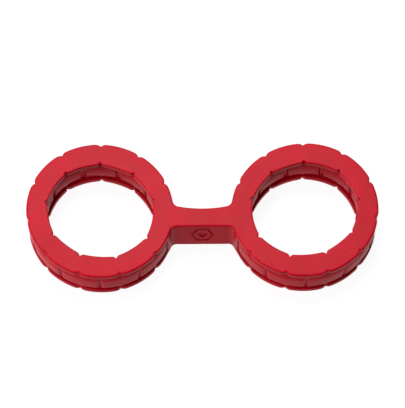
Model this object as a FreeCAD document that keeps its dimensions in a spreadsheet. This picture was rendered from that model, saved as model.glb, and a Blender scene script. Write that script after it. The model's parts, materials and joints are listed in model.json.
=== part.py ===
import FreeCAD, Part
import math
import os
import Sketcher

# Figure-of-eight stretch cuff: two scalloped silicone rings joined by a short bar, moulded in one go.
# Each ring is three courses high. The flanges above and below have lobes that line up, and the middle
# course has its joints half a lobe further round and stands back a little, like bricks in a wall.
# The bar bends sideways, folds and twists, so it is divided where it bends: one solid per stretch.
# Frame: +X along the bar towards the right ring, +Z up, origin under the middle of the footprint.

DIMENSIONS = {
    "ring_spacing": 117.5,         # between the two ring centres
    "rim_radius": 42.2,            # outer lobes, at their crests
    "rim_notch_radius": 41.0,      # deepest point between two outer lobes
    "rim_shoulder_angle": 5.0,     # half the angle that one outer notch takes up
    "rim_lobes": 11,
    "hole_radius": 30.0,           # inner lobes, at their crests
    "hole_notch_radius": 31.8,
    "hole_shoulder_angle": 4.2,
    "hole_notches": 9,
    "hole_pitch": 39.375,          # the inner lobe beside the bar is wider than the other eight
    "hole_first_notch": 12.0,      # angle from the bar's direction
    "flange_height": 3.7,
    "course_height": 15.0,
    "course_recess": 0.5,          # the middle course stands back by this much, inside and outside
    "joint_depth": 1.5,            # groove between two bricks of the middle course
    "joint_shoulder_angle": 2.5,
    "bar_front": 10.8,             # bar faces, measured from the line through the ring centres
    "bar_back": 1.0,
    "front_fillet": 4.5,           # where the bar flares into the rings
    "back_fillet": 4.0,
    "fold_axis": 8.75,             # distance of each fold line from the middle of the bar
    "sway_axis": 15.0,
    "fold_relief_angle": 11.4,     # half of each fold or sway, and a little to spare
    "sway_relief_angle": 10.4,
    "body_gap": 0.3,
    "mark_half_width": 6.6,        # six-sided outline pressed into the bar's front face
    "mark_half_height": 7.0,
    "mark_slant": 3.3,
    "mark_line": 1.0,
    "mark_depth": 0.35,
    "mark_middle": 12.2,           # height of its middle above the table
    "lozenge_half_width": 2.8,
    "lozenge_half_height": 3.2,
}

# Formulas that several sketches share. The bar's direction is +X in every ring's own axes.
MIDDLE = "(Sheet.bar_front - Sheet.bar_back) / 2"
BAR_HALF_WIDTH = "(Sheet.bar_front + Sheet.bar_back) / 2"
TOTAL_HEIGHT = "(Sheet.course_height + 2 * Sheet.flange_height)"
FRONT_FLARE_REACH = "(Sheet.rim_radius + Sheet.front_fillet)"
BACK_FLARE_REACH = "(Sheet.rim_radius + Sheet.back_fillet)"
FRONT_FLARE_X = f"sqrt({FRONT_FLARE_REACH} ^ 2 - (Sheet.bar_front + Sheet.front_fillet) ^ 2)"
BACK_FLARE_X = f"sqrt({BACK_FLARE_REACH} ^ 2 - (Sheet.bar_back + Sheet.back_fillet) ^ 2)"
SWAY_SETBACK = f"{BAR_HALF_WIDTH} * tan(Sheet.sway_relief_angle * 1 deg)"
FOLD_SETBACK = f"{TOTAL_HEIGHT} / 2 * tan(Sheet.fold_relief_angle * 1 deg)"


def make_sheet(doc):
    sheet = doc.addObject("Spreadsheet::Sheet", "Sheet")
    for row, (alias, value) in enumerate(DIMENSIONS.items(), start=1):
        sheet.set(f"A{row}", alias)
        sheet.set(f"B{row}", str(value))
        sheet.setAlias(f"B{row}", alias)
    doc.recompute()
    return sheet


def number(sheet, formula):
    return float(sheet.evalExpression(formula))


def origin_feature(body, role):
    return next(item for item in body.Origin.OriginFeatures if item.Role == role)


def new_sketch(body, name, role="XY_Plane", offset=None):
    sketch = body.newObject("Sketcher::SketchObject", name)
    sketch.AttachmentSupport = [(origin_feature(body, role), "")]
    sketch.MapMode = "FlatFace"
    if offset is not None:
        sketch.setExpression("AttachmentOffset.Base.z", offset)
    return sketch


def bound(sketch, constraint, formula):
    """Adds a constraint whose value follows the spreadsheet."""
    index = sketch.addConstraint(constraint)
    sketch.setExpression(f"Constraints[{index}]", formula)


def add_circle(sheet, sketch, radius):
    circle = Part.Circle(FreeCAD.Vector(0, 0, 0), FreeCAD.Vector(0, 0, 1), number(sheet, radius))
    edge = sketch.addGeometry(circle)
    sketch.addConstraint(Sketcher.Constraint("Coincident", edge, 3, -1, 1))
    bound(sketch, Sketcher.Constraint("Radius", edge, number(sheet, radius)), radius)


def add_outline(sheet, sketch, corners):
    """Closed outline. Each corner is (x, y) formulas, then the edge that follows it: nothing for a
    line, or (radius, side) for an arc that bulges to the left (+1) or right (-1) of its chord."""
    points = [FreeCAD.Vector(number(sheet, c[0]), number(sheet, c[1]), 0) for c in corners]
    ends = []
    for index, corner in enumerate(corners):
        start = points[index]
        finish = points[(index + 1) % len(points)]
        if len(corner) == 2:
            edge = sketch.addGeometry(Part.LineSegment(start, finish))
            ends.append((edge, 1, 2))
            continue
        radius, side = corner[2]
        chord = finish - start
        half = chord.Length / 2
        size = number(sheet, radius)
        rise = size - math.sqrt(size * size - half * half)
        left = FreeCAD.Vector(-chord.y, chord.x, 0).normalize()
        middle = (start + finish) * 0.5 + left * (rise * side)
        edge = sketch.addGeometry(Part.Arc(start, middle, finish))
        runs_forward = side < 0
        ends.append((edge, 1, 2) if runs_forward else (edge, 2, 1))
        bound(sketch, Sketcher.Constraint("Radius", edge, size), radius)
    for index, (edge, start_point, _) in enumerate(ends):
        before = ends[index - 1]
        sketch.addConstraint(Sketcher.Constraint("Coincident", before[0], before[2], edge, start_point))
        place = points[index]
        along = Sketcher.Constraint("DistanceX", -1, 1, edge, start_point, place.x)
        across = Sketcher.Constraint("DistanceY", -1, 1, edge, start_point, place.y)
        bound(sketch, along, corners[index][0])
        bound(sketch, across, corners[index][1])


def add_feature(body, kind, name, sketch, length=None):
    feature = body.newObject(f"PartDesign::{kind}", name)
    feature.Profile = sketch
    if length is None:
        feature.Type = "ThroughAll"
        feature.Midplane = True
    else:
        feature.setExpression("Length", length)
    return feature


def notch_outline(rim, notch, angle, turn, outward):
    """A notch between two lobes: its two sides are the lobes' rounded corners. turn is where the
    notch lies, outward is +1 for the outer rim and -1 for the hole."""
    bend = f"cos({angle} * 1 deg)"
    corner_radius = (
        f"abs(({rim} ^ 2 + {notch} ^ 2 - 2 * {rim} * {notch} * {bend}) / (2 * {rim} - 2 * {notch} * {bend}))"
    )
    reach = f"({rim} + {outward} * 3)"
    before = f"(({turn} - {outward} * {angle}) * 1 deg)"
    after = f"(({turn} + {outward} * {angle}) * 1 deg)"
    apex = f"({turn} * 1 deg)"
    return [
        (f"{rim} * cos{before}", f"{rim} * sin{before}", (corner_radius, -1)),
        (f"{notch} * cos{apex}", f"{notch} * sin{apex}", (corner_radius, -1)),
        (f"{rim} * cos{after}", f"{rim} * sin{after}"),
        (f"{reach} * cos{after}", f"{reach} * sin{after}"),
        (f"{reach} * cos{before}", f"{reach} * sin{before}"),
    ]


def add_notches(sheet, body, name, outline, height, count, sweep):
    sketch = new_sketch(body, f"{name}_sketch")
    add_outline(sheet, sketch, outline)
    pocket = add_feature(body, "Pocket", name, sketch, height)
    pocket.Reversed = True
    body.Document.recompute()
    pattern = body.newObject("PartDesign::PolarPattern", f"{name}_pattern")
    pattern.Originals = [pocket]
    pattern.Axis = (origin_feature(body, "Z_Axis"), [""])
    pattern.setExpression("Angle", sweep)
    pattern.setExpression("Occurrences", count)
    body.Tip = pattern
    body.Document.recompute()


def root_outline():
    """The end of the bar, flared into the rim, up to the line where the ring sways."""
    tip_x = "(Sheet.ring_spacing / 2 - Sheet.sway_axis - Sheet.body_gap / 2)"
    cut_x = f"({tip_x} - {SWAY_SETBACK})"
    front_y = "(-Sheet.bar_front - Sheet.front_fillet)"
    back_y = "(Sheet.bar_back + Sheet.back_fillet)"
    front_cut_y = f"{front_y} + sqrt(Sheet.front_fillet ^ 2 - ({cut_x} - {FRONT_FLARE_X}) ^ 2)"
    back_cut_y = f"{back_y} - sqrt(Sheet.back_fillet ^ 2 - ({cut_x} - {BACK_FLARE_X}) ^ 2)"
    back_rim = f"Sheet.rim_radius / {BACK_FLARE_REACH}"
    front_rim = f"Sheet.rim_radius / {FRONT_FLARE_REACH}"
    back_wall = f"(Sheet.rim_radius + Sheet.hole_radius) / 2 / {BACK_FLARE_REACH}"
    front_wall = f"(Sheet.rim_radius + Sheet.hole_radius) / 2 / {FRONT_FLARE_REACH}"
    return [
        (tip_x, f"-{MIDDLE}"),
        (cut_x, back_cut_y, ("Sheet.back_fillet", -1)),
        (f"{BACK_FLARE_X} * {back_rim}", f"{back_y} * {back_rim}"),
        (f"{BACK_FLARE_X} * {back_wall}", f"{back_y} * {back_wall}"),
        (f"{FRONT_FLARE_X} * {front_wall}", f"{front_y} * {front_wall}"),
        (f"{FRONT_FLARE_X} * {front_rim}", f"{front_y} * {front_rim}", ("Sheet.front_fillet", -1)),
        (cut_x, front_cut_y),
    ]


def make_course(sheet, label, height, base, recess, depth_formula, angle, phase):
    """One course of the left ring: an annulus, notched outside and inside, with its stretch of bar."""
    doc = sheet.Document
    body = doc.addObject("PartDesign::Body", label)
    body.Label = label
    rim = f"(Sheet.rim_radius - {recess})"
    hole = f"(Sheet.hole_radius + {recess})"
    rim_notch, hole_notch = depth_formula
    rim_angle, hole_angle = angle

    ring = new_sketch(body, "ring")
    add_circle(sheet, ring, rim)
    add_circle(sheet, ring, hole)
    add_feature(body, "Pad", "annulus", ring, height)
    doc.recompute()

    rim_turn = f"(90 + {phase} * 180 / Sheet.rim_lobes)"
    hole_turn = f"(Sheet.hole_first_notch + {phase} * Sheet.hole_pitch / 2)"
    rim_outline = notch_outline(rim, rim_notch, rim_angle, rim_turn, 1)
    hole_outline = notch_outline(hole, hole_notch, hole_angle, hole_turn, -1)
    add_notches(sheet, body, "rim_notch", rim_outline, height, "Sheet.rim_lobes", "360")
    hole_sweep = "Sheet.hole_pitch * (Sheet.hole_notches - 1)"
    add_notches(sheet, body, "hole_notch", hole_outline, height, "Sheet.hole_notches", hole_sweep)

    root = new_sketch(body, "root")
    add_outline(sheet, root, root_outline())
    body.Tip = add_feature(body, "Pad", "bar_end", root, height)
    body.setExpression("Placement.Base.x", "-Sheet.ring_spacing / 2")
    body.setExpression("Placement.Base.z", base)
    return body


def make_courses(sheet):
    flange_notches = ("Sheet.rim_notch_radius", "Sheet.hole_notch_radius")
    flange_angles = ("Sheet.rim_shoulder_angle", "Sheet.hole_shoulder_angle")
    brick_notches = (
        "(Sheet.rim_radius - Sheet.course_recess - Sheet.joint_depth)",
        "(Sheet.hole_radius + Sheet.course_recess + Sheet.joint_depth)",
    )
    brick_angles = ("Sheet.joint_shoulder_angle", "Sheet.joint_shoulder_angle")
    flange = "Sheet.flange_height"
    top = "Sheet.flange_height + Sheet.course_height"
    return [
        make_course(sheet, "left_bottom_flange", flange, "0", "0", flange_notches, flange_angles, 0),
        make_course(sheet, "left_middle_course", "Sheet.course_height", flange, "Sheet.course_recess",
                    brick_notches, brick_angles, 1),
        make_course(sheet, "left_top_flange", flange, top, "0", flange_notches, flange_angles, 0),
    ]


def make_bar_block(sheet, label, plan, side_cuts):
    """A stretch of the bar: its plan, as high as the rings, then triangles cut away to let it fold."""
    doc = sheet.Document
    body = doc.addObject("PartDesign::Body", label)
    body.Label = label
    sketch = new_sketch(body, "plan")
    add_outline(sheet, sketch, plan)
    add_feature(body, "Pad", "block", sketch, TOTAL_HEIGHT)
    doc.recompute()
    for index, corners in enumerate(side_cuts):
        cut_sketch = new_sketch(body, f"relief_{index}_sketch", "XZ_Plane")
        add_outline(sheet, cut_sketch, corners)
        body.Tip = add_feature(body, "Pocket", f"relief_{index}", cut_sketch)
        doc.recompute()
    return body


def press_mark(sheet, body):
    """The left half of the mark on the bar's front: half a six-sided outline and half a lozenge."""
    outer_x = "Sheet.mark_half_width"
    outer_y = "Sheet.mark_half_height"
    inner_x = "(Sheet.mark_half_width - 1.2 * Sheet.mark_line)"
    inner_y = "(Sheet.mark_half_height - Sheet.mark_line)"
    middle = "Sheet.mark_middle"
    frame = [
        ("1", f"{middle} + {outer_y}"),
        (f"-{outer_x} + Sheet.mark_slant", f"{middle} + {outer_y}"),
        (f"-{outer_x}", middle),
        (f"-{outer_x} + Sheet.mark_slant", f"{middle} - {outer_y}"),
        ("1", f"{middle} - {outer_y}"),
        ("1", f"{middle} - {inner_y}"),
        (f"-{inner_x} + Sheet.mark_slant", f"{middle} - {inner_y}"),
        (f"-{inner_x}", middle),
        (f"-{inner_x} + Sheet.mark_slant", f"{middle} + {inner_y}"),
        ("1", f"{middle} + {inner_y}"),
    ]
    lozenge = [
        ("0", f"{middle} + Sheet.lozenge_half_height"),
        ("-Sheet.lozenge_half_width", middle),
        ("0", f"{middle} - Sheet.lozenge_half_height"),
    ]
    for name, corners in (("mark_frame", frame), ("mark_lozenge", lozenge)):
        sketch = new_sketch(body, f"{name}_sketch", "XZ_Plane", "Sheet.bar_front")
        add_outline(sheet, sketch, corners)
        body.Tip = add_feature(body, "Pocket", name, sketch, "Sheet.mark_depth")
        body.Document.recompute()


def fold_reliefs(ridge_x, direction):
    """Triangles above and below the ridge that a block folds about. The ridge is at mid height."""
    back_x = f"({ridge_x} + {direction} * {FOLD_SETBACK})"
    past_x = f"({ridge_x} - {direction} * 1)"
    low = [(past_x, "-1"), (back_x, "-1"), (back_x, "0"), (ridge_x, f"{TOTAL_HEIGHT} / 2"),
           (past_x, f"{TOTAL_HEIGHT} / 2")]
    high = [(past_x, f"{TOTAL_HEIGHT} + 1"), (back_x, f"{TOTAL_HEIGHT} + 1"), (back_x, TOTAL_HEIGHT),
            (ridge_x, f"{TOTAL_HEIGHT} / 2"), (past_x, f"{TOTAL_HEIGHT} / 2")]
    return [low, high]


def make_bar(sheet):
    front = "-Sheet.bar_front"
    back = "Sheet.bar_back"
    gap = "Sheet.body_gap / 2"
    root_tip = f"(-Sheet.sway_axis + {gap})"
    root_cut = f"({root_tip} + {SWAY_SETBACK})"
    root_ridge = f"(-Sheet.fold_axis - {gap})"
    root_plan = [(root_tip, f"-{MIDDLE}"), (root_cut, front), (root_ridge, front), (root_ridge, back),
                 (root_cut, back)]
    root = make_bar_block(sheet, "bar_left_root", root_plan, fold_reliefs(root_ridge, -1))
    half_ridge = f"(-Sheet.fold_axis + {gap})"
    half_end = f"(-{gap})"
    half_plan = [(half_ridge, front), (half_end, front), (half_end, back), (half_ridge, back)]
    half = make_bar_block(sheet, "bar_left_half", half_plan, fold_reliefs(half_ridge, 1))
    unmarked_volume = half.Shape.Volume
    press_mark(sheet, half)
    print(f"mark cuts {unmarked_volume - half.Shape.Volume:.2f} mm3")
    return [root, half]


def mirrored(doc, body):
    """The right-hand half of the moulding is the left-hand half seen in a mirror."""
    copy = doc.addObject("Part::Mirroring", body.Label.replace("left", "right"))
    copy.Label = body.Label.replace("left", "right")
    copy.Source = body
    copy.Normal = FreeCAD.Vector(1, 0, 0)
    return copy


def check_and_export(doc, parts):
    doc.recompute()
    for item in doc.Objects:
        if "Invalid" in item.State or "Error" in item.State:
            raise RuntimeError(f"{item.Label} did not compute: {item.State}")
    os.makedirs("parts", exist_ok=True)
    for part in parts:
        shape = part.Shape
        if shape.isNull() or not shape.isValid() or not shape.Solids:
            raise RuntimeError(f"{part.Label} has no valid solid")
        shape.exportStep(f"parts/{part.Label}.step")
        box = shape.BoundBox
        print(f"{part.Label:22s} {len(shape.Solids)} solid {shape.Volume:9.1f} mm3")
        print(f"    x {box.XMin:.2f} to {box.XMax:.2f}, y {box.YMin:.2f} to {box.YMax:.2f}, "
              f"z {box.ZMin:.2f} to {box.ZMax:.2f}")


def main():
    doc = FreeCAD.newDocument("stretch_cuff")
    sheet = make_sheet(doc)
    # A notch points straight back and a lobe straight forward, so the footprint is centred by this shift.
    centring = "Sheet.rim_radius * (1 - cos(Sheet.rim_shoulder_angle * 1 deg)) / 2"
    left_parts = make_courses(sheet) + make_bar(sheet)
    for part in left_parts:
        part.setExpression("Placement.Base.y", centring)
    doc.recompute()
    check_and_export(doc, left_parts + [mirrored(doc, part) for part in left_parts])


main()
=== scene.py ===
import json
import math

import bpy
import numpy as np
from mathutils import Matrix, Vector


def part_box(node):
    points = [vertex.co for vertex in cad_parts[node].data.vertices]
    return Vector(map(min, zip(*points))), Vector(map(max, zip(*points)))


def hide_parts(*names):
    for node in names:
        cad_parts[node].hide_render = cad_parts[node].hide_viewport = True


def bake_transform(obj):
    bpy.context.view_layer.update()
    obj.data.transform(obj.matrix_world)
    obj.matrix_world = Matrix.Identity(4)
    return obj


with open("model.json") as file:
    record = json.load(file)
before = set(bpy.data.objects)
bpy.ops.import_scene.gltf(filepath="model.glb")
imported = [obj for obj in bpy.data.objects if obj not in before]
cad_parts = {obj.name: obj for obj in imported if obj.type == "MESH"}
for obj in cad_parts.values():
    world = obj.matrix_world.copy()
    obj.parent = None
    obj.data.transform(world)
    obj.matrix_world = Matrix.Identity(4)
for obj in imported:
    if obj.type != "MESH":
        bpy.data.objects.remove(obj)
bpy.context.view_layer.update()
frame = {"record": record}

# The skin of a silicone stretch cuff: two scalloped rings, each three courses high, joined by a short bar.
# Lengths in the mesh code are millimetres. A ring is worked out for the left-hand side, in axes whose
# origin is the ring's centre and whose +X points along the bar. The right-hand side is its mirror image,
# apart from the place of its hole.

MM = 0.001


# ---------------------------------------------------------------- sizes read from the frame

def box_mm(node):
    low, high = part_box(node)
    return np.array(low) / MM, np.array(high) / MM


opening = next(m for m in frame["record"]["mounts"] if m["name"] == "left_opening")
RING_X = -opening["pos_m"][0] / MM
RING_Y = opening["pos_m"][1] / MM
HOLE_RADIUS = opening["dims"]["r_mm"]
flange_low, flange_high = box_mm("left_top_flange")
HEIGHT = flange_high[2]
UPPER_JOINT = flange_low[2]
LOWER_JOINT = box_mm("left_bottom_flange")[1][2]
RIM_RADIUS = -RING_X - flange_low[0]
COURSE_RECESS = box_mm("left_middle_course")[0][0] - flange_low[0]
BAR_FRONT = box_mm("bar_left_half")[0][1] - RING_Y

# ---------------------------------------------------------------- the moulding's details

RIM_LOBES = 11
RIM_NOTCH_DEPTH = 1.5
RIM_SHOULDER = 4.6               # degrees from the middle of a notch to where the lobe is round again
HOLE_NOTCHES = 9
HOLE_PITCH = 39.375              # degrees; the lobe beside the bar is wider than the other eight
HOLE_FIRST_NOTCH = 12.0
HOLE_NOTCH_DEPTH = 2.7
HOLE_SHOULDER = 4.3
HOLE_BULGE = 0.6                 # between notches the lobes reach further into the hole
NOTCH_SOFTNESS = 0.25            # degrees
LOWER_NOTCH_SHARE = 0.75         # the lower flanges' notches are shallower than the upper ones'
RIM_ROUNDING = 0.9               # the flanges' outer edges, away from the bar
RIM_UNDERSIDE = 0.8
HOLE_ROUNDING = 0.7
HOLE_UNDERSIDE = 0.7
BAR_ROUNDING = 0.8
ROUNDING_FADE = 9.0              # the flange's edge takes this long to get from one rounding to the other
BRICK_CROWN = 0.3                # a brick is a pillow whose middle stands this far out of the course
RIM_BRICK_END = 5.0              # its surface starts to fall this far from its upper and lower ends
RIM_BRICK_SIDE = 2.4             # and this far from its neighbours
RIM_CREASE = 1.15                # down to creases this deep at the ends
RIM_GROOVE = 1.2                 # and towards grooves this deep, but no deeper than the creases
HOLE_BRICK_END = 6.8
HOLE_BRICK_SIDE = 1.9
HOLE_CREASE = 1.5
HOLE_GROOVE = 2.8
HOLE_GROOVE_HALF_WIDTH = 0.25    # the flat bottom of a groove
FLARE_ROUNDING = 1.4             # the smooth wall beside the bar starts with an edge this round

RIM_SKEW = 0.6                   # the soft rings lie slightly oval, drawn out towards the bar's front
HOLE_SKEW = 0.85
HOLE_STRETCH = 0.65              # and the holes are longer along the bar than across it
HOLE_SHIFT = {"left": (0.25, -0.5), "right": (0.0, 0.0)}     # how far a hole lies off its ring's centre
FRONT_DRAFT = 1.4                # the bar's front stands out by this much more at the table
DRAFT_FADE = 13.0                # and beside the bar the draft fades over this length of wall

BACK_WAIST = 0.6                 # the bar's back edge is hollow: it is this far back in the middle
BACK_RADIUS = 70.0
FRONT_FILLET = 4.5
BACK_FILLET = 4.0
SEAM_X = 13.0                    # the ring's skin ends and the bar's begins
TWIST_X = 4.5                    # the middle stretch of the bar lies between these

MARK_HALF_WIDTH = 6.6
MARK_HALF_HEIGHT = 7.0
MARK_SLANT = 3.3
MARK_LINE = 1.1
MARK_DEPTH = 0.7
MARK_EDGE = 0.3
MARK_MIDDLE = 12.2
LOZENGE_HALF_WIDTH = 2.8
LOZENGE_HALF_HEIGHT = 3.2

RIM_COLUMNS = 640                # columns of the mesh go round the ring and rows round its section
FILLET_COLUMNS = 24
TAIL_COLUMNS = 4
SEAM_COLUMNS = 60
ROUNDING_ROWS = 6
FACE_ROWS = 12
COURSE_ROWS = 36
RIM_FEATURE_WIDTH = 3.0          # degrees beside a notch or groove in which the columns are closer
HOLE_FEATURE_WIDTH = 3.4
FEATURE_WEIGHT = 3.0             # and how much closer
SPREAD_SAMPLES = 20001

WIDE_LOBE = 360 - (HOLE_NOTCHES - 1) * HOLE_PITCH
rim_notches = 90 + 360 / RIM_LOBES * np.arange(RIM_LOBES)
rim_grooves = rim_notches + 180 / RIM_LOBES
hole_notches = HOLE_FIRST_NOTCH + HOLE_PITCH * np.arange(HOLE_NOTCHES)
hole_grooves = np.append(hole_notches[:-1] + HOLE_PITCH / 2, HOLE_FIRST_NOTCH - WIDE_LOBE / 2)


def turn_to_nearest(angles, features):
    """Signed angle in degrees from each angle to the nearest feature."""
    turn = (angles[:, None] - features[None, :] + 180) % 360 - 180
    nearest = np.abs(turn).argmin(axis=1)
    return turn[np.arange(len(angles)), nearest]


def notch_depth(angles, features, radius, depth, shoulder, outward):
    """Depth of the notches between lobes. The lobes' corners are arcs that touch the ring's circle."""
    turn = np.sqrt(turn_to_nearest(angles, features) ** 2 + NOTCH_SOFTNESS ** 2)
    bottom = radius - outward * depth
    bend = math.cos(math.radians(shoulder))
    corner = (radius ** 2 + bottom ** 2 - 2 * radius * bottom * bend) / (2 * radius - 2 * bottom * bend)
    middle = radius - corner
    lean = np.radians(np.clip(shoulder - turn, 0, None))
    reach = middle * np.cos(lean) + outward * np.sqrt(corner ** 2 - (middle * np.sin(lean)) ** 2)
    return np.where(turn < shoulder, outward * (radius - reach), 0.0)


def spread(start, stop, count, features, width):
    """count angles from start to stop, closer together near the features."""
    fine = np.linspace(start, stop, SPREAD_SAMPLES)
    density = 1 + FEATURE_WEIGHT * np.exp(-(turn_to_nearest(fine, features) / width) ** 2)
    total = np.concatenate([[0], np.cumsum((density[1:] + density[:-1]) / 2)])
    return np.interp(np.linspace(0, total[-1], count), total, fine)


def unit_vectors(angles):
    """Unit vectors in plan at angles in degrees."""
    return np.stack([np.cos(np.radians(angles)), np.sin(np.radians(angles))], axis=1)


def round_edge(t):
    """Depth below the face, from 1 down to 0, along a quarter-round edge as t goes from 0 to 1."""
    return 1 - np.sqrt(1 - (1 - np.clip(t, 0, 1)) ** 2)


def lerp(first, last, share):
    """From first to last by share."""
    return first + (last - first) * share


def ease(share):
    """From 0 to 1 with a soft start and finish."""
    share = np.clip(share, 0, 1)
    return share ** 2 * (3 - 2 * share)


# ---------------------------------------------------------------- plan of the left ring

def circle_meets(first, first_radius, second, second_radius):
    """The point at the given distances from two centres, to the left of the way from one to the other."""
    between = second - first
    gap = np.linalg.norm(between)
    along = (first_radius ** 2 - second_radius ** 2 + gap ** 2) / (2 * gap)
    across = math.sqrt(first_radius ** 2 - along ** 2)
    unit = between / gap
    return first + along * unit + across * np.array([unit[1], -unit[0]])


def fillet(centre, radius, start, finish, count):
    """Points on a hollow corner, the short way round, and the directions that its wall faces."""
    first = math.atan2(*(start - centre)[::-1])
    turn = (math.atan2(*(finish - centre)[::-1]) - first + math.pi) % (2 * math.pi) - math.pi
    angles = first + turn * np.linspace(0, 1, count)
    directions = np.stack([np.cos(angles), np.sin(angles)], axis=1)
    return centre + radius * directions, -directions


seam_x = RING_X - SEAM_X
front_centre = np.array([0.0, BAR_FRONT - FRONT_FILLET])
front_centre[0] = math.sqrt((RIM_RADIUS + FRONT_FILLET) ** 2 - front_centre[1] ** 2)
hollow_centre = np.array([RING_X, BACK_WAIST + BACK_RADIUS])
back_centre = circle_meets(np.zeros(2), RIM_RADIUS + BACK_FILLET, hollow_centre, BACK_RADIUS - BACK_FILLET)
front_tangent = front_centre * RIM_RADIUS / (RIM_RADIUS + FRONT_FILLET)
back_tangent = back_centre * RIM_RADIUS / (RIM_RADIUS + BACK_FILLET)
front_corner = np.array([front_centre[0], BAR_FRONT])
back_corner = lerp(hollow_centre, back_centre, BACK_RADIUS / (BACK_RADIUS - BACK_FILLET))


def polar_angle(points):
    """Angles in degrees of points round the ring's centre."""
    return np.degrees(np.arctan2(points[..., 1], points[..., 0]))


def angles_unwrapped(angles):
    """The same angles without a jump of 360 degrees between neighbours."""
    return np.degrees(np.unwrap(np.radians(angles)))


def back_edge(x):
    """The hollow back edge of the bar at x, measured from the middle of the bar: places and directions."""
    drop = np.sqrt(BACK_RADIUS ** 2 - x ** 2)
    place = np.stack([x, BACK_WAIST + BACK_RADIUS - drop], axis=1)
    return place, np.stack([-x, drop], axis=1) / BACK_RADIUS


def rim_outline():
    """The ring's outer wall in plan, anticlockwise from the bar's back to the bar's front.
    Returns places, the directions that the wall faces, distance along the wall and angle."""
    back_angle = polar_angle(back_tangent)
    front_angle = polar_angle(front_tangent) + 360
    features = np.concatenate([rim_notches, rim_grooves])
    around = unit_vectors(spread(back_angle, front_angle, RIM_COLUMNS, features, RIM_FEATURE_WIDTH))
    tail, tail_out = back_edge(np.linspace(seam_x, back_corner[0], TAIL_COLUMNS)[:-1] - RING_X)
    tail[:, 0] += RING_X
    back, back_out = fillet(back_centre, BACK_FILLET, back_corner, back_tangent, FILLET_COLUMNS)
    front, front_out = fillet(front_centre, FRONT_FILLET, front_tangent, front_corner, FILLET_COLUMNS)
    tip = np.array([[seam_x, BAR_FRONT]])
    place = np.concatenate([tail, back[:-1], RIM_RADIUS * around, front[1:], tip])
    out = np.concatenate([tail_out, back_out[:-1], around, front_out[1:], [[0.0, -1.0]]])
    steps = np.linalg.norm(np.diff(place, axis=0), axis=1)
    along = np.concatenate([[0], np.cumsum(steps)])
    return place, out, along, polar_angle(place)


def course_wall(rows, wall):
    """Depth of the middle course's wall at each row height and column: pillow-shaped bricks, or a smooth
    wall level with the flanges where the wall is flush."""
    from_end = np.minimum(rows - LOWER_JOINT, UPPER_JOINT - rows)[:, None]
    ends = wall["crease"] * np.clip(1 - from_end / wall["brick_end"], 0, 1) ** 2
    sides = wall["groove"] * np.clip(1 - wall["away"] / wall["brick_side"], 0, 1) ** 2
    bricks = COURSE_RECESS - BRICK_CROWN + np.minimum(np.hypot(ends, sides), wall["crease"])
    return np.where(wall["flush"], crease_depth(wall) + 0 * ends, bricks)


def crease_depth(wall):
    """Depth in each column of the creases above and below the middle course. They fade out on the flare."""
    depth = COURSE_RECESS - BRICK_CROWN + wall["crease"]
    return np.where(wall["flush"], depth * round_edge(wall["away"] / FLARE_ROUNDING), depth)


def flange_wall(edge, crease, rounding, underside):
    """Depths and heights above the joint of a flange's wall, from the crease under it to its face.
    edge is the depth of the flange's edge in each column, crease the depth of the crease under it, and
    rounding and underside the radii of its upper and lower edges."""
    thickness = HEIGHT - UPPER_JOINT
    bend = np.linspace(0, math.pi / 2, ROUNDING_ROWS)[:, None]
    lip = np.clip(crease - edge, 0, underside)
    depths = np.concatenate([
        lerp(crease, edge + lip, np.array([[0.0], [0.5]])),
        edge + lip * (1 - np.sin(bend)),
        edge + np.zeros((1, 1)),
        edge + rounding * (1 - np.cos(bend)),
    ])
    heights = np.concatenate([
        np.zeros((2, 1)) * lip,
        lip * (1 - np.cos(bend)),
        (lip + thickness - rounding)[None] / 2,
        thickness - rounding * (1 - np.sin(bend)) + 0 * lip,
    ])
    lower_rows = ROUNDING_ROWS + 3
    even = np.linspace(0, 1, lower_rows)[:, None] * heights[lower_rows - 1]
    heights[:lower_rows] = lerp(even, heights[:lower_rows], crease / crease.max())
    return depths, heights


def wall_points(place, into, depths, heights):
    """Rows of points on a wall: plan position moved into the material, and height."""
    plan = place[None] + into[None] * depths[..., None]
    heights = np.broadcast_to(heights, depths.shape)
    return np.concatenate([plan, heights[..., None]], axis=2)


def draft(rows, wall):
    """Leans the wall out towards the table, by each column's share of the draft."""
    lean = FRONT_DRAFT * wall["draft"][None] * (1 - rows[..., 2] / HEIGHT)
    rows[..., :2] -= wall["into"][None] * lean[..., None]
    return rows


def close_at_seam(rows):
    """Adds the columns of the flat seam, straight from the bar's front back to the bar's back."""
    share = np.linspace(0, 1, SEAM_COLUMNS + 2)[None, 1:-1, None]
    return np.concatenate([rows, lerp(rows[:, -1:], rows[:, :1], share)], axis=1)


def face_rows(first, last):
    """Rows of points across a flat face, between two rows and leaving both out."""
    share = np.linspace(0, 1, FACE_ROWS + 2)[1:-1, None, None]
    return lerp(first[None], last[None], share)


def rim_wall():
    """What the slabs have to know in each column of the ring's outer wall, and the columns' angles."""
    place, out, along, angles = rim_outline()
    groove_along = np.interp(np.sort(rim_grooves % 360), angles_unwrapped(angles), along)
    groove_along = groove_along[(groove_along > along[1]) & (groove_along < along[-2])]
    fade = ease(np.minimum(along, along[-1] - along) / ROUNDING_FADE)
    skew = RIM_SKEW * fade * np.sin(2 * np.radians(angles))
    wall = {
        "place": place - out * skew[:, None],
        "into": -out,
        "away": np.abs(along[:, None] - groove_along[None]).min(axis=1),
        "flush": (along < groove_along.min()) | (along > groove_along.max()),
        "edge": notch_depth(angles, rim_notches, RIM_RADIUS, RIM_NOTCH_DEPTH, RIM_SHOULDER, 1),
        "rounding": lerp(BAR_ROUNDING, RIM_ROUNDING, fade),
        "underside": RIM_UNDERSIDE,
        "crease": RIM_CREASE,
        "groove": RIM_GROOVE,
        "brick_end": RIM_BRICK_END,
        "brick_side": RIM_BRICK_SIDE,
        "draft": ease(1 - (along[-1] - along) / DRAFT_FADE),
    }
    return wall, angles


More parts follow.
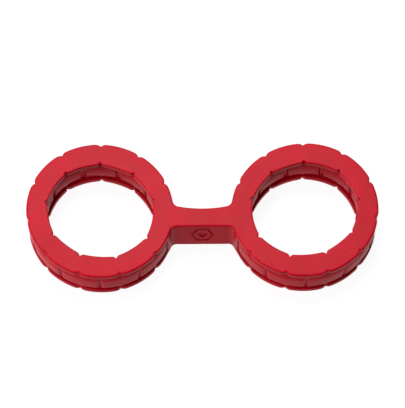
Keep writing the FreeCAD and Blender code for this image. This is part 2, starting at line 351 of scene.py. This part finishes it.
def hole_angles(angles):
    """Angles of the hole's columns, one for each column of the outer wall and of the seam. Opposite the
    round part of the rim they are closer together near the hole's own notches and grooves."""
    angles = angles_unwrapped(angles)
    before = TAIL_COLUMNS + FILLET_COLUMNS - 2
    rim = slice(before, before + RIM_COLUMNS)
    features = np.concatenate([hole_notches, hole_grooves])
    first, last = angles[rim][[0, -1]]
    angles[rim] = spread(first, last, RIM_COLUMNS, features, HOLE_FEATURE_WIDTH)
    seam = np.linspace(angles[-1], angles[0] + 360, SEAM_COLUMNS + 2)[1:-1]
    return np.concatenate([angles, seam])


def hole_wall(angles, shift):
    """What the slabs have to know in each column of the hole's wall."""
    around = unit_vectors(angles)
    doubled = 2 * np.radians(angles)
    radius = HOLE_RADIUS + HOLE_STRETCH * np.cos(doubled) - HOLE_SKEW * np.sin(doubled)
    from_notch = np.abs(turn_to_nearest(angles, hole_notches)) * 2 / HOLE_PITCH
    from_groove = np.abs(np.radians(turn_to_nearest(angles, hole_grooves))) * HOLE_RADIUS
    notches = notch_depth(angles, hole_notches, HOLE_RADIUS, HOLE_NOTCH_DEPTH, HOLE_SHOULDER, -1)
    return {
        "place": radius[:, None] * around + shift,
        "into": around,
        "away": from_groove - HOLE_GROOVE_HALF_WIDTH,
        "flush": np.zeros(len(angles), bool),
        "edge": notches - HOLE_BULGE * (1 - (1 - from_notch) ** 2),
        "rounding": np.full(len(angles), HOLE_ROUNDING),
        "underside": HOLE_UNDERSIDE,
        "crease": HOLE_CREASE,
        "groove": HOLE_GROOVE,
        "brick_end": HOLE_BRICK_END,
        "brick_side": HOLE_BRICK_SIDE,
    }


def flange_rows(wall, notch_share):
    """Rows of an upper flange's wall, from the joint up, with this share of the notches' depth."""
    edge = notch_share * wall["edge"]
    depths, heights = flange_wall(edge, crease_depth(wall), wall["rounding"], wall["underside"])
    return wall_points(wall["place"], wall["into"], depths, heights)


def course_rows(wall):
    """Rows of the middle course's wall, from the lower joint up, closer together near the joints."""
    rows = lerp(LOWER_JOINT, UPPER_JOINT, (1 - np.cos(np.linspace(0, math.pi, COURSE_ROWS))) / 2)
    return wall_points(wall["place"], wall["into"], course_wall(rows, wall), rows[:, None])


def slab_points(outer, inner):
    """The rows of a closed slab: up the outer wall, across the top, down the hole and back underneath."""
    top = face_rows(outer[-1], inner[-1])
    underside = face_rows(inner[0], outer[0])
    return np.concatenate([outer, top, inner[::-1], underside])


def ring_slabs(hole_shift):
    """Points of the left ring's three courses, by name. The lower flange is the upper one upside down."""
    outer, angles = rim_wall()
    walls = (outer, hole_wall(hole_angles(angles), hole_shift))
    top = [flange_rows(wall, 1) + np.array([0, 0, UPPER_JOINT]) for wall in walls]
    bottom = [flange_rows(wall, LOWER_NOTCH_SHARE)[::-1] for wall in walls]
    bottom = [rows * np.array([1, 1, -1]) + np.array([0, 0, LOWER_JOINT]) for rows in bottom]
    middle = [course_rows(wall) for wall in walls]
    courses = {"top_flange": top, "middle_course": middle, "bottom_flange": bottom}
    slabs = {}
    for name, (outside, inside) in courses.items():
        outside = close_at_seam(draft(outside, outer))
        slabs[name] = slab_points(outside, inside) - np.array([RING_X, 0, 0])
    return slabs


# ---------------------------------------------------------------- the bar

BAR_SPACING = 0.16
MARK_ROWS = 110
BACK_ROWS = 14


def polygon_distance(x, z, corners):
    """Signed distance from points to a convex polygon whose corners run anticlockwise; negative inside."""
    distance = np.full(np.broadcast(x, z).shape, -np.inf)
    for (ax, az), (bx, bz) in zip(corners, corners[1:] + corners[:1]):
        length = math.hypot(bx - ax, bz - az)
        distance = np.maximum(distance, ((x - ax) * (bz - az) - (z - az) * (bx - ax)) / length)
    return distance


def mark_depth(x, z):
    """Depth of the generic mark pressed into the bar's front: a six-sided outline round a lozenge."""
    flat = MARK_HALF_WIDTH - MARK_SLANT
    hexagon = [(MARK_HALF_WIDTH, 0), (flat, MARK_HALF_HEIGHT), (-flat, MARK_HALF_HEIGHT),
               (-MARK_HALF_WIDTH, 0), (-flat, -MARK_HALF_HEIGHT), (flat, -MARK_HALF_HEIGHT)]
    lozenge = [(LOZENGE_HALF_WIDTH, 0), (0, LOZENGE_HALF_HEIGHT),
               (-LOZENGE_HALF_WIDTH, 0), (0, -LOZENGE_HALF_HEIGHT)]
    outline = np.abs(polygon_distance(x, z, hexagon) + MARK_LINE / 2) - MARK_LINE / 2
    nearest = np.minimum(outline, polygon_distance(x, z, lozenge))
    return MARK_DEPTH * ease(0.5 - nearest / MARK_EDGE)


def bar_points(start, finish):
    """The rows of a stretch of the bar, from x = start to x = finish: up the front, over the top, down the
    back and underneath."""
    x = np.linspace(start, finish, round((finish - start) / BAR_SPACING) + 1)
    bend = np.linspace(0, math.pi / 2, ROUNDING_ROWS)
    shrink = BAR_ROUNDING * (1 - np.cos(bend))
    lift = HEIGHT - BAR_ROUNDING * (1 - np.sin(bend))
    front_z = np.linspace(BAR_ROUNDING, HEIGHT - BAR_ROUNDING, MARK_ROWS)
    back_z = np.linspace(BAR_ROUNDING, HEIGHT - BAR_ROUNDING, BACK_ROWS)
    front_place = np.stack([x, np.full(len(x), BAR_FRONT)], axis=1)
    back_place, back_out = back_edge(x)
    front = (front_place, np.array([[0.0, 1.0]]), front_z)
    back = (back_place, -back_out, back_z)
    walls = []
    for place, into, wall_z in (front, back):
        z = np.concatenate([HEIGHT - lift[::-1], wall_z[1:-1], lift])
        depth = np.concatenate([shrink[::-1], 0 * wall_z[1:-1], shrink])
        walls.append(wall_points(place, into, depth[:, None] + 0 * x, z[:, None]))
    walls[0][..., 1] += mark_depth(walls[0][..., 0], walls[0][..., 2] - MARK_MIDDLE)
    walls[0][..., 1] -= FRONT_DRAFT * (1 - walls[0][..., 2] / HEIGHT)
    return slab_points(*walls)


# ---------------------------------------------------------------- meshes

SHARP_ANGLE = math.radians(38)


def make_piece(name, points, closed, mirrored, material):
    """A mesh from rows of points that close on themselves. Its columns close too, or it gets end caps."""
    rows, columns = points.shape[:2]
    coords = points.reshape(-1, 3) + np.array([0, RING_Y, 0])
    if mirrored:
        coords = coords * np.array([-1, 1, 1])
    row = np.arange(rows)[:, None]
    column = np.arange(columns if closed else columns - 1)[None, :]
    next_row = (row + 1) % rows
    next_column = (column + 1) % columns
    corners = [row * columns + column, row * columns + next_column,
               next_row * columns + next_column, next_row * columns + column]
    faces = np.stack([c.ravel() for c in corners], axis=1).tolist()
    if not closed:
        faces.append((np.arange(rows) * columns + columns - 1).tolist())
        faces.append((np.arange(rows)[::-1] * columns).tolist())
    if mirrored:
        faces = [face[::-1] for face in faces]
    mesh = bpy.data.meshes.new(name)
    mesh.from_pydata((coords * MM).tolist(), [], faces)
    mesh.update()
    rest = mesh.attributes.new("rest", "FLOAT_VECTOR", "POINT")
    rest.data.foreach_set("vector", coords.astype(np.float32).ravel())
    mesh.polygons.foreach_set("use_smooth", [True] * len(mesh.polygons))
    mesh.set_sharp_from_angle(angle=SHARP_ANGLE)
    mesh.materials.append(material)
    piece = bpy.data.objects.new(name, mesh)
    bpy.context.collection.objects.link(piece)
    return piece


def make_ring(side, sign, material):
    """The three courses of one ring, each reaching into its end of the bar."""
    for course, points in ring_slabs(np.array(HOLE_SHIFT[side])).items():
        piece = make_piece(f"{side}_{course}_skin", points, True, sign > 0, material)
        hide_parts(f"{side}_{course}")
        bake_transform(piece)


def make_bar(material):
    """The bar's two ends, and the middle between them."""
    bend = bar_points(-SEAM_X, -TWIST_X)
    for side, sign in (("left", -1), ("right", 1)):
        piece = make_piece(f"bar_{side}_bend_skin", bend, False, sign > 0, material)
        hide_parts(f"bar_{side}_root")
        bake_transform(piece)
    piece = make_piece("bar_middle_skin", bar_points(-TWIST_X, TWIST_X), False, False, material)
    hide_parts("bar_left_half", "bar_right_half")
    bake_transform(piece)


# ---------------------------------------------------------------- silicone

SILICONE_DEEP = (0.37, 0.0010, 0.010, 1)
SILICONE_PALE = (0.42, 0.0020, 0.013, 1)
DUST_COLOUR = (0.75, 0.35, 0.32, 1)
GRAIN_HEIGHT = 0.1


def node(tree, kind, **values):
    made = tree.nodes.new(kind)
    for name, value in values.items():
        setattr(made, name, value)
    return made


def noise(tree, place, scale, detail):
    """Noise at the places on the skin at rest, so that it rides on the skin as the cuff bends."""
    made = node(tree, "ShaderNodeTexNoise")
    made.inputs["Scale"].default_value = scale
    made.inputs["Detail"].default_value = detail
    tree.links.new(place, made.inputs["Vector"])
    return made.outputs["Fac"]


def mapped(tree, value, source, target):
    """A value carried from the source range to the target range and kept inside it."""
    made = node(tree, "ShaderNodeMapRange")
    for name, end in zip(("From Min", "From Max", "To Min", "To Max"), source + target):
        made.inputs[name].default_value = end
    tree.links.new(value, made.inputs["Value"])
    return made.outputs["Result"]


def silicone_colour(tree, place):
    """A slightly cloudy red with a few specks of dust."""
    tint = node(tree, "ShaderNodeValToRGB")
    ends = ((0.35, SILICONE_DEEP), (0.65, SILICONE_PALE))
    for element, (position, colour) in zip(tint.color_ramp.elements, ends):
        element.position = position
        element.color = colour
    tree.links.new(noise(tree, place, scale=0.06, detail=3), tint.inputs["Fac"])

    specks = node(tree, "ShaderNodeTexVoronoi")
    specks.inputs["Scale"].default_value = 0.22
    tree.links.new(place, specks.inputs["Vector"])
    dust = mapped(tree, specks.outputs["Distance"], (0.035, 0.05), (0.35, 0.0))

    dusted = node(tree, "ShaderNodeMix", data_type="RGBA")
    dusted.inputs["B"].default_value = DUST_COLOUR
    tree.links.new(dust, dusted.inputs["Factor"])
    tree.links.new(tint.outputs["Color"], dusted.inputs["A"])
    return dusted.outputs["Result"]


def silicone_grain(tree, place):
    """The fine grain of the mould's blasted surface."""
    bump = node(tree, "ShaderNodeBump")
    bump.inputs["Strength"].default_value = 0.12
    bump.inputs["Distance"].default_value = GRAIN_HEIGHT * MM
    tree.links.new(noise(tree, place, scale=3.0, detail=3), bump.inputs["Height"])
    return bump.outputs["Normal"]


def make_silicone():
    material = bpy.data.materials.new("red_silicone")
    material.use_nodes = True
    tree = material.node_tree
    place = node(tree, "ShaderNodeAttribute", attribute_name="rest").outputs["Vector"]
    smear = noise(tree, place, scale=0.12, detail=4)
    shader = tree.nodes["Principled BSDF"]
    shader.inputs["IOR"].default_value = 1.43
    shader.inputs["Specular IOR Level"].default_value = 0.068
    tree.links.new(silicone_colour(tree, place), shader.inputs["Base Color"])
    tree.links.new(mapped(tree, smear, (0.0, 1.0), (0.29, 0.41)), shader.inputs["Roughness"])
    tree.links.new(silicone_grain(tree, place), shader.inputs["Normal"])
    return material


# ---------------------------------------------------------------- studio

PITCH = math.radians(64.37)
YAW = math.radians(0.95)
ROLL = math.radians(0.50)
VIEW_DISTANCE = 1.1522
TARGET_X = 0.06                  # the camera looks at a point on the cuff's top face, near its middle
TARGET_Y = 3.16                  # and this far behind the line through the rings' centres
LENS = 177.4
FLOOR_SIZE = 6.0
FLOOR_SHADE = (0.1, 0.1, 0.1, 1)
FLOOR_GLOW = 0.92                # the sweep is lit from behind, so shadows on it stay faint


def make_floor():
    bpy.ops.mesh.primitive_plane_add(size=FLOOR_SIZE)
    floor = bpy.context.object
    floor.name = "floor"
    material = bpy.data.materials.new("white_sweep")
    material.use_nodes = True
    shader = material.node_tree.nodes["Principled BSDF"]
    shader.inputs["Base Color"].default_value = FLOOR_SHADE
    shader.inputs["Emission Color"].default_value = (1, 1, 1, 1)
    shader.inputs["Emission Strength"].default_value = FLOOR_GLOW
    shader.inputs["Roughness"].default_value = 0.9
    shader.inputs["Specular IOR Level"].default_value = 0.0
    floor.data.materials.append(material)


def make_camera():
    """A long lens that looks down from the front."""
    forward = Vector((math.sin(YAW) * math.cos(PITCH), math.cos(YAW) * math.cos(PITCH), -math.sin(PITCH)))
    level = forward.cross(Vector((0, 0, 1))).normalized()
    rise = level.cross(forward)
    right = level * math.cos(ROLL) + rise * math.sin(ROLL)
    up = rise * math.cos(ROLL) - level * math.sin(ROLL)
    target = Vector((TARGET_X, TARGET_Y + RING_Y, HEIGHT)) * MM
    camera = bpy.data.objects.new("camera", bpy.data.cameras.new("camera"))
    camera.data.lens = LENS
    axes = Matrix((right, up, -forward)).transposed()
    camera.matrix_world = Matrix.Translation(target - forward * VIEW_DISTANCE) @ axes.to_4x4()
    bpy.context.collection.objects.link(camera)
    bpy.context.scene.camera = camera


def add_softbox(name, place, size, power):
    """A soft light that faces the cuff; place and size are in metres, power in watts."""
    light = bpy.data.lights.new(name, "AREA")
    light.shape = "RECTANGLE"
    light.size, light.size_y = size
    light.energy = power
    softbox = bpy.data.objects.new(name, light)
    softbox.location = place
    softbox.rotation_euler = (-Vector(place)).to_track_quat("-Z", "Y").to_euler()
    bpy.context.collection.objects.link(softbox)


def make_lights():
    add_softbox("back_softbox", (-0.08, 0.72, 1.4), (0.8, 0.62), 24.5)
    add_softbox("overhead_softbox", (-0.3, 0, 1.6), (0.9, 0.7), 5.4)
    add_softbox("left_softbox", (-1.5, -0.1, 0.45), (0.8, 0.8), 17.5)
    add_softbox("front_softbox", (-0.7, -0.7, 1.3), (0.6, 0.6), 7.2)
    world = bpy.data.worlds.new("studio")
    world.use_nodes = True
    world.node_tree.nodes["Background"].inputs["Color"].default_value = (1, 1, 1, 1)
    world.node_tree.nodes["Background"].inputs["Strength"].default_value = 0.02
    bpy.context.scene.world = world


silicone = make_silicone()
for side, sign in (("left", -1), ("right", 1)):
    make_ring(side, sign, silicone)
make_bar(silicone)
make_floor()
make_camera()
make_lights()
bpy.context.scene.view_settings.view_transform = "Standard"
